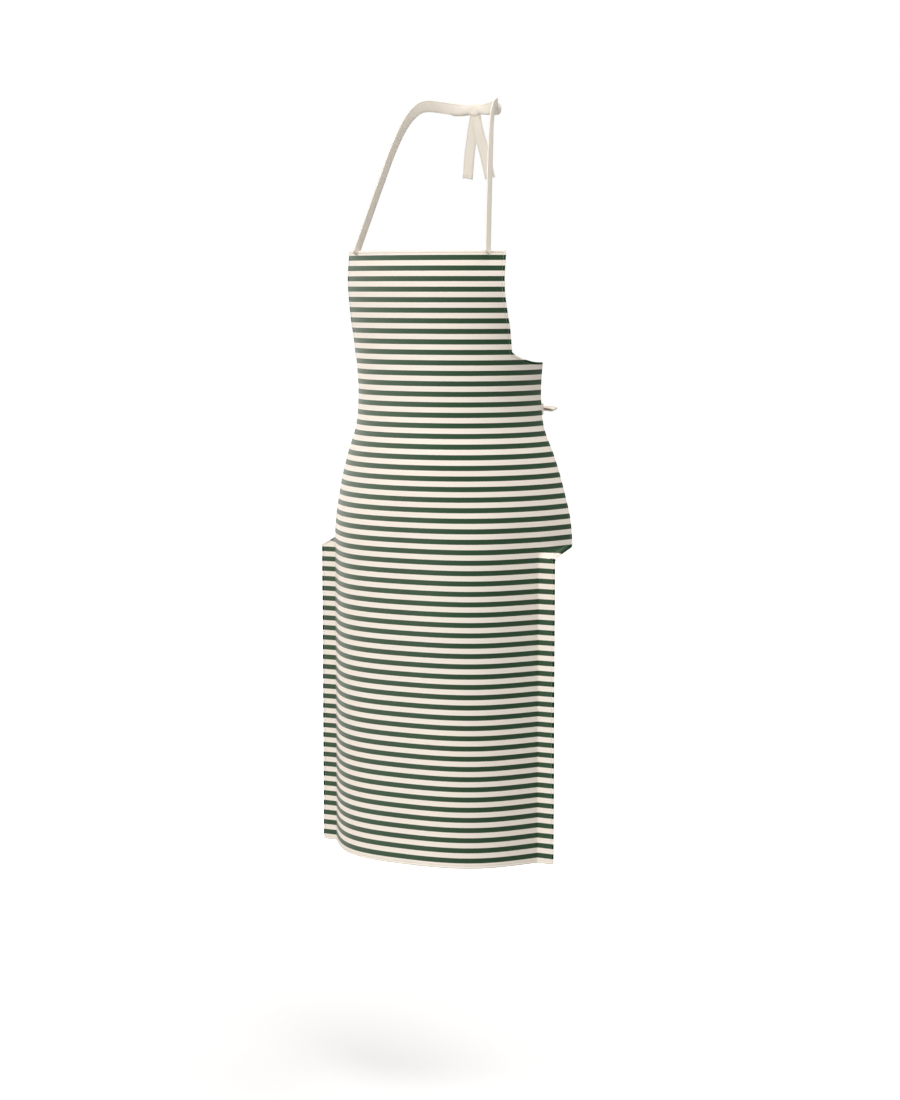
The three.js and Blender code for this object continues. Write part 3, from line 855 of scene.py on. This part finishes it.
def lay_tape(name, path, facing, gathered=(False, False), cup=CUP_DEPTH, crown=0.0):
    """A tape along a path, bunched up at the ends that go into a knot and crowned at a loop's tip."""
    tape = tape_frames(path, facing)
    walked = tape["walked"]
    bunch = np.zeros(len(walked))
    for at_end, distance in zip(gathered, (walked, walked[-1] - walked)):
        if at_end:
            bunch = np.maximum(bunch, np.exp(-(distance / GATHER_REACH) ** 2))
    tape["narrow"] = 1 - GATHER_NARROW * bunch
    tape["cup"] = cup * bunch - crown * np.exp(-((walked - walked[-1] / 2) / TIP_REACH) ** 2)
    lower = [(side, -out) for side, out in TAPE_SECTION[-2:0:-1]]
    ring = [*TAPE_SECTION, *lower]
    points = np.stack([tape_point(tape, side, out) for side, out in ring], axis=1).reshape(-1, 3)
    size, rows = len(ring), len(walked)
    faces = [face[::-1] for k in range(rows - 1) for face in ring_faces(k * size, (k + 1) * size, size)]
    caps = [tuple(range(size)), tuple(range(rows * size - 1, (rows - 1) * size - 1, -1))]
    flat = [(place, side) for place in walked for side, _ in ring]
    tape["object"] = make_mesh(name, points, faces + caps, flat, tape_cotton, caps=len(caps))
    tape["length"] = walked[-1]
    tapes[name] = tape
    return tape


def place_row(x, depth, rise):
    """A place on the body, by its depth and its rise above the bib's top edge, in the apron's frame."""
    return x, depth - NAPE_BACK, -NAPE_RISE + rise


print("a gathered tape is", round(TAPE_WIDTH * (1 - GATHER_NARROW), 1), "mm wide")

# %% [markdown]
# ## Neck straps
# Each strap leaves the top hem edge-on, runs up and back over the shoulder and turns flat against the
# nape. It could be pulled taut in a simulation, but ten points from the bib to the nape give its route,
# and a turn at each point gives its twist. The right strap is the mirror of the left one.

# %% Neck straps
# x, depth, rise above the bib's top edge, turn of the flat side in degrees
STRAP = (
    (99.6, -110.9, -5.5, 0),
    (90.2, -88.7, 47, 0),
    (81.6, -68, 95, 0),
    (72.8, -46, 143, 0),
    (64.5, -24.5, 178, 4),
    (58, -3, 196, 12),
    (53.5, 16, 201, 28),
    (43.5, 35, 200.5, 48),
    (26, 49, 198, 68),
    (5.0, 54, 197, 86),
)
HANDS = {"left": 1, "right": -1}
for side, hand in HANDS.items():
    path, facing = [], []
    for x, depth, rise, degrees in STRAP:
        turn = math.radians(degrees)
        path.append(place_row(hand * x, depth, rise))
        facing.append((hand * math.cos(turn), math.sin(turn), 0.0))
    strap = lay_tape(f"neck_strap_tape_{side}", path, facing, gathered=(False, True))
print("strap length", round(strap["length"]), "mm")

# %% [markdown]
# ## Waist ties
# A tie is sewn inside the side hem, over its fold, and follows the back of the waist as half an ellipse.
# Its first points could be typed in, but they are taken from the panel's own section, a little inside
# it, so that the tie lies against the cloth wherever the section is changed.

# %% Waist ties
TIE_DROP = 216.0
# the sewn part: share of the half width where it starts, and its distance inside the section
TIE_START = 0.9
TIE_INSET = 3.8
TIE_SEWN_POINTS = 4
SHARE_STEP = 0.002
# the part round the back: half depth of the ellipse, and the turn in degrees at which it ends
TIE_BACK = 88.6
TIE_END = 88.0
TIE_BACK_POINTS = 9

section_drop = np.full(3, TIE_DROP - TAPE_WIDTH / 2)
for side, hand in HANDS.items():
    path, facing = [], []
    for share in np.linspace(TIE_START, 1, TIE_SEWN_POINTS):
        near = np.array([share - SHARE_STEP, share, share + SHARE_STEP])
        line = body_section(section_drop, near)
        along = unit(line[:, 2] - line[:, 0])
        x, depth = line[:, 1] + TIE_INSET * np.array([-along[1], along[0]])
        path.append(place_row(hand * x, depth, -TIE_DROP))
        facing.append((hand * along[1], -along[0], 0))
    for turn in np.radians(np.linspace(0, TIE_END, TIE_BACK_POINTS + 1)[1:]):
        outward_share, back_share = math.cos(turn), math.sin(turn)
        path.append(place_row(hand * x * outward_share, depth + TIE_BACK * back_share, -TIE_DROP))
        facing.append(unit(np.array([hand * outward_share / x, back_share / TIE_BACK, 0])))
    tie = lay_tape(f"waist_tie_tape_{side}", path, facing, gathered=(False, True))
print("tie length", round(tie["length"]), "mm")

# %% [markdown]
# ## Bows
# Each bow has two loops and two hanging tails that come out of one knot. A loop is a tape that goes out,
# turns at its tip and comes back, and both its ends bunch up in the knot. A tail hangs by its own
# weight. A cloth simulation could tie and drop them, but a table for each bow keeps its size in hand.

# %% Sizes of the bows
# knot: width, depth and height. tilt: lean of a loop's opening at the knot and at the tip, in degrees
# a row of a leg: share of the reach, share of the swell, turn of the flat side in degrees
# a row of a tail: drop below the knot, distance from the middle, depth
BOWS = {
    "neck": {
        "back": 57.2, "rise": 197.0, "knot": (14.6, 11.6, 18.0),
        "loop_back": 60.4, "reach": 31.3, "swell": 4.2, "tilt": (0.0, 0.0), "sag": -1.0, "crown": 3.0,
        "leg": ((0, 0.32, 98), (0.3, 1, 92), (0.72, 0.9, 84), (0.95, 0.5, 50)),
        "tail": ((-6, 2.6, 57.6), (14, 4, 59), (50, 12, 65), (85, 18, 71)),
    },
    "waist": {
        "back": 86.4, "rise": -TIE_DROP, "knot": (16.0, 16.0, 18.5),
        "loop_back": 90.4, "reach": 102.5, "swell": 3.2, "tilt": (45.0, 101.0), "sag": 4.0, "crown": 0.0,
        "leg": ((0, 0.38, 98), (0.22, 1, 92), (0.55, 0.42, 88), (0.98, 0.36, 50)),
        "tail": ((-6, 3.0, 86.4), (18, 5, 89), (80, 16, 101), (170, 27, 118)),
    },
}
print("reach of the loops", {name: bow["reach"] for name, bow in BOWS.items()}, "mm")

# %% [markdown]
# ## Loops and tails
# A loop's two legs open and close along one direction, which turns from the knot to the tip, so a wide
# loop lies over as it sags. They could be two curves, but one table for a leg, mirrored for the other,
# keeps them alike. The left tail hangs before the right one, a little more than a tape's thickness
# apart, so that they don't cut each other below the knot.

# %% Loops and tails
LOOP_START = 3.0
LOOP_CUP = 0.8
TAIL_LAYER = 1.3


def loop_path(bow, hand):
    """A loop's middle line and facing, out along one leg and back along the other."""
    path, facing = [], []
    start = bow["knot"][0] / 2 - LOOP_START
    back_leg = [(along, -apart, -turn) for along, apart, turn in reversed(bow["leg"])]
    for along, apart, turn in [*bow["leg"], (1, 0, 0), *back_leg]:
        lean = math.radians(np.interp(along, (0, 1), bow["tilt"]))
        opening = np.array([0, math.cos(lean), math.sin(lean)])
        sideways = start + (bow["reach"] + LOOP_START) * along
        middle = place_row(hand * sideways, bow["loop_back"], bow["rise"] - bow["sag"] * along ** 2)
        path.append(np.array(middle) + opening * bow["swell"] * apart)
        angle = math.radians(turn)
        facing.append(np.array([hand * math.cos(angle), 0, 0]) + opening * math.sin(angle))
    return path, facing


for bow_name, bow in BOWS.items():
    low = bow["rise"] - bow["knot"][2] / 2
    for side, hand in HANDS.items():
        name = f"{bow_name}_loop_tape_{side}"
        lay_tape(name, *loop_path(bow, hand), gathered=(True, True), cup=LOOP_CUP, crown=bow["crown"])
        layer = hand * TAIL_LAYER
        path = [place_row(hand * out, behind - layer, low - down) for down, out, behind in bow["tail"]]
        facing = [(0, 1, 0)] * len(path)
        lay_tape(f"{bow_name}_tail_tape_{side}", path, facing, gathered=(True, False))
print("tapes", {name: round(tape["length"]) for name, tape in tapes.items()})

# %% [markdown]
# ## Knots
# A knot is a short stretch of the same tape wrapped once round everything that goes through it and
# pulled tight. Its band runs over the top, down the outside and back underneath, creased along its
# length, and it is pinched where it goes in at the sides. It could be sculpted, but a rounded square
# that is swept across, with three wandering grooves, is quick to resize.

# %% Knots
KNOT_TURNS = 64
KNOT_ACROSS = 31
KNOT_SQUARE = 3.2
KNOT_PINCH = 0.3
# place across the band, depth in millimetres, half width, start of its wander
KNOT_CREASES = ((-0.52, 0.75, 0.10, 0.6), (0.02, 0.6, 0.08, 2.1), (0.5, 0.8, 0.11, 4.0))
KNOT_WANDER = 0.12


def tie_knot(name, bow):
    """A band of creased tape round the middle of a bow."""
    width, depth, height = bow["knot"]
    centre = np.array(place_row(0, bow["back"], bow["rise"]))
    turns = np.linspace(0, math.tau, KNOT_TURNS, endpoint=False)
    y, z = np.cos(turns), np.sin(turns)
    square = (np.abs(y) ** KNOT_SQUARE + np.abs(z) ** KNOT_SQUARE) ** (-1 / KNOT_SQUARE)
    points, flat = [], []
    for step in np.linspace(-1, 1, KNOT_ACROSS):
        tight = 1 - KNOT_PINCH * abs(step) ** 3
        groove = sum(deep * np.exp(-((step - at - KNOT_WANDER * np.sin(turns + phase)) / wide) ** 2)
                     for at, deep, wide, phase in KNOT_CREASES)
        x = np.full_like(turns, step * width / 2)
        back, up = y * square * (depth / 2 * tight - groove), z * square * (height / 2 * tight - groove)
        points.append(centre + np.column_stack([x, back, up]))
        flat.append(np.column_stack([turns * height / 2, x]))
    faces = []
    for k in range(KNOT_ACROSS - 1):
        faces += ring_faces(k * KNOT_TURNS, (k + 1) * KNOT_TURNS, KNOT_TURNS)
    last = (KNOT_ACROSS - 1) * KNOT_TURNS
    caps = [tuple(range(KNOT_TURNS - 1, -1, -1)), tuple(range(last, last + KNOT_TURNS))]
    flat = np.concatenate(flat)
    return make_mesh(name, np.concatenate(points), faces + caps, flat, tape_cotton, caps=len(caps))


knots = {name: tie_knot(f"{name}_knot_band", bow) for name, bow in BOWS.items()}
print("knots", [knot.name for knot in knots.values()])

# %% [markdown]
# ## Stitches
# Every hem and tape edge is sewn with a lockstitch: short runs of thread with a small gap between them.
# The rows are lines on the finished surfaces. They could be drawn into the material, but real beads of
# thread catch the light. A Geometry Nodes tree walks along each line, puts one stitch at every step and
# turns it along the line, because thousands of stitches follow one rule.

# %% Stitch tree
# a stitch is a small bead, stretched along its row
BEAD = {"Segments": 6, "Rings": 4, "Radius": 0.5}

row_tree = bpy.data.node_groups.new("stitch_row", "GeometryNodeTree")
row_tree.interface.new_socket("Rows", in_out="INPUT", socket_type="NodeSocketGeometry")
for label in ("Pitch", "Stitch length", "Thread width"):
    row_tree.interface.new_socket(label, in_out="INPUT", socket_type="NodeSocketFloat")
row_tree.interface.new_socket("Thread", in_out="INPUT", socket_type="NodeSocketMaterial")
row_tree.interface.new_socket("Stitches", in_out="OUTPUT", socket_type="NodeSocketGeometry")
given = add_node(row_tree, "NodeGroupInput").outputs
line = add_node(row_tree, "GeometryNodeMeshToCurve", {"Mesh": given["Rows"]})
steps = {"Curve": line.outputs[0], "Length": given["Pitch"]}
steps = add_node(row_tree, "GeometryNodeResampleCurve", steps, mode="LENGTH")
bead = add_node(row_tree, "GeometryNodeMeshUVSphere", BEAD)
sizes = {"X": given["Stitch length"], "Y": given["Thread width"], "Z": given["Thread width"]}
size = add_node(row_tree, "ShaderNodeCombineXYZ", sizes)
stitch = {"Geometry": bead.outputs[0], "Scale": size.outputs[0]}
stitch = add_node(row_tree, "GeometryNodeTransform", stitch)
tangent = add_node(row_tree, "GeometryNodeInputTangent")
turn = add_node(row_tree, "FunctionNodeAlignRotationToVector", {"Vector": tangent.outputs[0]}, axis="X")
placed = {"Points": steps.outputs[0], "Instance": stitch.outputs[0], "Rotation": turn.outputs[0]}
sewn = add_node(row_tree, "GeometryNodeInstanceOnPoints", placed)
real = add_node(row_tree, "GeometryNodeRealizeInstances", {"Geometry": sewn.outputs[0]})
smooth = add_node(row_tree, "GeometryNodeSetShadeSmooth", {"Geometry": real.outputs[0]})
thread = {"Geometry": smooth.outputs[0], "Material": given["Thread"]}
coloured = add_node(row_tree, "GeometryNodeSetMaterial", thread)
add_node(row_tree, "NodeGroupOutput", {"Stitches": coloured.outputs[0]})
print("stitch tree of", len(row_tree.nodes), "nodes")

# %% [markdown]
# ## Stitches along the hem
# The hem is sewn once round, so one row shows on the outer face and one on the inner face. Both lie in
# the dip that they pull into the cloth. They could share one row through the cloth, but each face is
# worn at its own depth. The tree's result is made a plain mesh before it is handed over.

# %% Hem stitches
STITCH_PITCH = 2.8
STITCH_LENGTH = 2.2
THREAD_WIDTH = 0.42
# distance in from the edge, and height above the face
STITCH_IN = 3.6
STITCH_LIFT = 0.15


def sew(name, rows):
    """Stitches along rows of points, each row a list of points in millimetres and whether it is closed."""
    points, edges = [], []
    for line, closed in rows:
        first, size = len(points), len(line)
        points.extend(line)
        edges += [(first + k, first + (k + 1) % size) for k in range(size if closed else size - 1)]
    mesh = bpy.data.meshes.new(name)
    mesh.from_pydata([tuple(p) for p in np.array(points) * MM], edges, [])
    made = bpy.data.objects.new(name, mesh)
    scene.collection.objects.link(made)
    modifier = made.modifiers.new("stitches", "NODES")
    modifier.node_group = row_tree
    values = {"Pitch": STITCH_PITCH * MM, "Stitch length": STITCH_LENGTH * MM,
              "Thread width": THREAD_WIDTH * MM, "Thread": sewing_thread}
    for item in row_tree.interface.items_tree:
        if item.name in values:
            modifier[item.identifier] = values[item.name]
    evaluated = made.evaluated_get(bpy.context.evaluated_depsgraph_get())
    made.data = bpy.data.meshes.new_from_object(evaluated)
    made.modifiers.clear()
    return made


first = int(np.argmin(np.abs(HEM_PROFILE[:, 0] - STITCH_IN))) * count
sewn_loop = slice(first, first + count)
lift = outward[sewn_loop] * STITCH_LIFT
hem_stitches = sew("hem_stitches", [(outer[sewn_loop] + lift, True), (inner[sewn_loop] - lift, True)])
print("hem stitches", len(hem_stitches.data.polygons), "faces")

# %% [markdown]
# ## Stitches along the tapes
# A tape is folded from a wider strip and sewn along both edges, and the end of each tail has a short hem
# of its own. The rows could be marked on the mesh by hand, but taken from the tape's own frames they
# bend and bunch with it.

# %% Tape stitches
# the rows along the edges: distance from the middle, and height above the middle layer
EDGE_ROW = 6.3
ROW_OUT = 0.86
# the row across a tail's end: distance from the end, height, and places across
END_HEM = 5.0
END_OUT = 1.06
END_SIDES = np.linspace(-6, 6, 9)

tape_rows = []
for name, tape in tapes.items():
    for face in (1, -1):
        for edge in (EDGE_ROW, -EDGE_ROW):
            tape_rows.append((tape_point(tape, edge, face * ROW_OUT), False))
        if "tail" in name:
            station = int(np.argmin(np.abs(tape["walked"] - (tape["length"] - END_HEM))))
            end_row = [tape_point(tape, side, face * END_OUT)[station] for side in END_SIDES]
            tape_rows.append((end_row, False))
tape_stitches = sew("tape_stitches", tape_rows)
print("tape stitches", len(tape_stitches.data.polygons), "faces")

# %% [markdown]
# ## Floor
# The apron hangs above a pale, matt floor and throws a soft shadow on it. A plain white plane would show
# its far edge against the backdrop, so the paint glows a little more the further out it is, until the
# two meet. It is hidden from the light that bounces off the cloth, so it throws none back.

# %% Floor
FLOOR_HEIGHT = -1.357
FLOOR_HALF = 30.0
FLOOR_WHITE = "#fbfaf9"
# distances from the middle in metres, and the glow at each
GLOW_REACH = (0.3, 1.5)
FLOOR_GLOW = (0.07, 0.8)

floor_mesh = bpy.data.meshes.new("floor")
corners = [(x * FLOOR_HALF, y * FLOOR_HALF, FLOOR_HEIGHT) for x, y in ((-1, -1), (1, -1), (1, 1), (-1, 1))]
floor_mesh.from_pydata(corners, [], [(0, 1, 2, 3)])
floor = bpy.data.objects.new("floor", floor_mesh)
scene.collection.objects.link(floor)
# Matt white paint: it takes a soft shadow below the apron and glows further out, to meet the backdrop
floor_paint, tree, shader = new_material("matt_white_floor", Roughness=0.9)
shader.inputs["Base Color"].default_value = linear(FLOOR_WHITE)
shader.inputs["Emission Color"].default_value = (1, 1, 1, 1)
place = add_node(tree, "ShaderNodeTexCoord").outputs["Object"]
level = add_node(tree, "ShaderNodeMapping", {"Vector": place, "Scale": (1, 1, 0)})
away = add_node(tree, "ShaderNodeVectorMath", {0: level.outputs[0]}, operation="LENGTH")
glow = {"Value": away.outputs["Value"], "From Min": GLOW_REACH[0], "From Max": GLOW_REACH[1],
        "To Min": FLOOR_GLOW[0], "To Max": FLOOR_GLOW[1]}
glow = add_node(tree, "ShaderNodeMapRange", glow, interpolation_type="SMOOTHSTEP")
tree.links.new(glow.outputs[0], shader.inputs["Emission Strength"])
floor_mesh.materials.append(floor_paint)
floor.visible_glossy = False
floor.visible_diffuse = False
floor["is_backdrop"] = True
print("floor", round(cad_box[0][2] - FLOOR_HEIGHT, 3), "m below the hem")

# %% [markdown]
# ## Dome
# A plain studio is pale all round. The dome lights the apron softly from everywhere, and the camera sees
# it as a white backdrop. One strength can't do both, so the light path picks the one that is needed.
# Colours are shown as they are, with no film curve.

# %% Dome
DOME = 0.34
BACKDROP = 1.0

world = bpy.data.worlds.new("studio_dome")
scene.world = world
world.use_nodes = True
tree = world.node_tree
seen = add_node(tree, "ShaderNodeLightPath").outputs["Is Camera Ray"]
strength = add_node(tree, "ShaderNodeMapRange", {"Value": seen, "To Min": DOME, "To Max": BACKDROP})
tree.links.new(strength.outputs[0], tree.nodes["Background"].inputs["Strength"])
tree.nodes["Background"].inputs["Color"].default_value = (1, 1, 1, 1)
world.cycles_visibility.glossy = False
scene.view_settings.view_transform = "Standard"
scene.view_settings.look = "None"
print("dome lights with", DOME, "and shows as", BACKDROP)

# %% [markdown]
# ## Soft boxes
# A wide soft box stands in front on the wearer's right, with two fills on the left. Three more boxes on
# the wearer's right give the warm wash along that side. Fewer lamps could do it, but the wash would then
# bleach the cream, so each box says whether it gives plain light, gloss or both.

# %% Soft boxes
BOX_DISTANCE = 5.0
BOX_SIZE = 3.6
WARM = (1.0, 0.96, 0.89)
WHITE = (1.0, 1.0, 1.0)
# turn from the front, height in degrees, brightness, colour, plain light, gloss
SOFT_BOXES = {
    "key_box": (-22, 6, 4.25, WHITE, True, False),
    "high_fill_box": (85, 72, 4.7, WHITE, True, False),
    "low_fill_box": (32, 10, 1.1, WHITE, True, False),
    "front_wash_box": (-48, 6, 4.6, WARM, False, True),
    "side_wash_box": (-95, 4, 3.8, WARM, False, True),
    "rim_box": (-130, 4, 2.3, WARM, True, True),
}
for name, (turn, height, brightness, colour, plain, glossy) in SOFT_BOXES.items():
    toward = view_direction(math.radians(turn), math.radians(height))
    light = bpy.data.lights.new(name, "AREA")
    light.size = BOX_SIZE
    light.energy = brightness * math.pi * BOX_SIZE ** 2
    light.color = colour
    box = bpy.data.objects.new(name, light)
    box.location = VIEW_TARGET + BOX_DISTANCE * toward
    box.rotation_euler = toward.to_track_quat("Z", "Y").to_euler()
    box.visible_camera = False
    box.visible_diffuse = plain
    box.visible_glossy = glossy
    scene.collection.objects.link(box)
print("soft boxes", list(SOFT_BOXES))

# %% [markdown]
# ## Hand over the pieces
# Every piece rides on the apron's one body, stands for its plain solid and takes a material slot. That
# could be written out piece by piece, but the tapes' names already say which solid each one stands for.


def hand_over(piece, node=None):
    """Hand a piece over on the one body, in place of a plain solid where it has one."""
    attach(piece, "root")
    if node:
        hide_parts(node)


hand_over(panel, "apron_panel")
hand_over(hem_stitches)
hand_over(tape_stitches)
for name, tape in tapes.items():
    bow_name, kind, *_ = name.split("_")
    hand_over(tape["object"], name.replace("_tape", ""))
for name, knot in knots.items():
    hand_over(knot, f"{name}_knot")

# %% [markdown]
# ## Sizes
# The looks must not change the object's size. A glance at the picture can't tell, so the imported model's
# box and the dressed one are written out side by side.

# %% Sizes and finish
visual_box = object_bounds()
for label, box in (("cad", cad_box), ("visual", visual_box)):
    print(label, [round(x, 4) for corner in box for x in corner])
